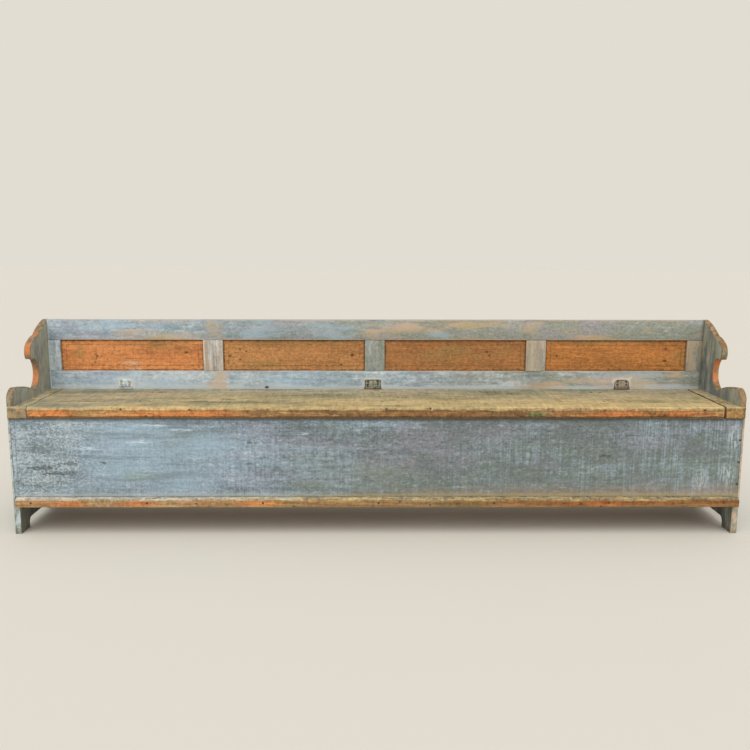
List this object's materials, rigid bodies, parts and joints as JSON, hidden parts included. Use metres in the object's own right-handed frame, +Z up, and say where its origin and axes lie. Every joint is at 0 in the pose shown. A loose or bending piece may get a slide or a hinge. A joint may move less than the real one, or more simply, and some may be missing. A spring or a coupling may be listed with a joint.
{
  "type": "pull-out bench bed",
  "caption": "Long wall bench with shaped ends and a panelled back; the hinged lid opens a box and the front pulls out into a bed.",
  "frame": {"origin": "on the floor under the middle of the whole bench, half way along it and half way from the moulding's face to the back", "axes": "+X along the bench to the right as seen from the front, +Y from the front towards the wall, +Z up"},
  "size_m": [2.624, 0.426, 0.744],
  "materials": {
    "blue_paint": "worn blue-grey milk paint on pine",
    "ochre_paint": "worn ochre and green paint on pine",
    "panel_pine": "orange-brown stained pine, worn",
    "bare_pine": "bare aged pine",
    "iron": "dull wrought iron, partly painted over"
  },
  "bodies": {
    "carcass": {"back_bottom_rail": "blue_paint", "back_ledger": "bare_pine", "back_muntin_1": "blue_paint", "back_muntin_2": "blue_paint", "back_muntin_3": "blue_paint", "back_panel_1": "panel_pine", "back_panel_2": "panel_pine", "back_panel_3": "panel_pine", "back_panel_4": "panel_pine", "back_stile_left": "blue_paint", "back_stile_right": "blue_paint", "back_top_rail": "blue_paint", "box_back_board": "bare_pine", "carcass_nails": "iron", "fixed_slat_1": "bare_pine", "fixed_slat_2": "bare_pine", "fixed_slat_3": "bare_pine", "fixed_slat_4": "bare_pine", "fixed_slat_5": "bare_pine", "fixed_slat_6": "bare_pine", "fixed_slat_7": "bare_pine", "fixed_slat_8": "bare_pine", "front_bearer": "bare_pine", "hinge_back_leaf_centre": "iron", "hinge_back_leaf_left": "iron", "hinge_back_leaf_right": "iron", "hinge_back_nails": "iron", "hinge_pin_centre": "iron", "hinge_pin_left": "iron", "hinge_pin_right": "iron", "left_end_board": "blue_paint", "right_end_board": "blue_paint", "runner_left": "bare_pine", "runner_right": "bare_pine", "seat_end_strip_left": "ochre_paint", "seat_end_strip_right": "ochre_paint"},
    "lid": {"hinge_lid_leaf_centre": "iron", "hinge_lid_leaf_left": "iron", "hinge_lid_leaf_right": "iron", "hinge_lid_nails": "iron", "lid_batten_1": "bare_pine", "lid_batten_2": "bare_pine", "lid_batten_3": "bare_pine", "lid_batten_nails": "iron", "lid_board": "ochre_paint"},
    "pull_out": {"front_ledger": "bare_pine", "front_moulding": "ochre_paint", "front_panel": "blue_paint", "moving_slat_1": "bare_pine", "moving_slat_2": "bare_pine", "moving_slat_3": "bare_pine", "moving_slat_4": "bare_pine", "moving_slat_5": "bare_pine", "moving_slat_6": "bare_pine", "moving_slat_7": "bare_pine", "pull_out_nails": "iron", "pull_side_left": "bare_pine", "pull_side_right": "bare_pine", "rear_rail": "bare_pine"}
  },
  "joints": [
    {"name": "lid_hinge", "type": "hinge", "parent": "carcass", "child": "lid", "pos_m": [0, 0.1845, 0.4745], "axis": [-1, 0, 0], "range_deg": [0, 91.5]},
    {"name": "front_slide", "type": "slide", "parent": "carcass", "child": "pull_out", "axis": [0, -1, 0], "range_m": [0, 0.267]}
  ]
}
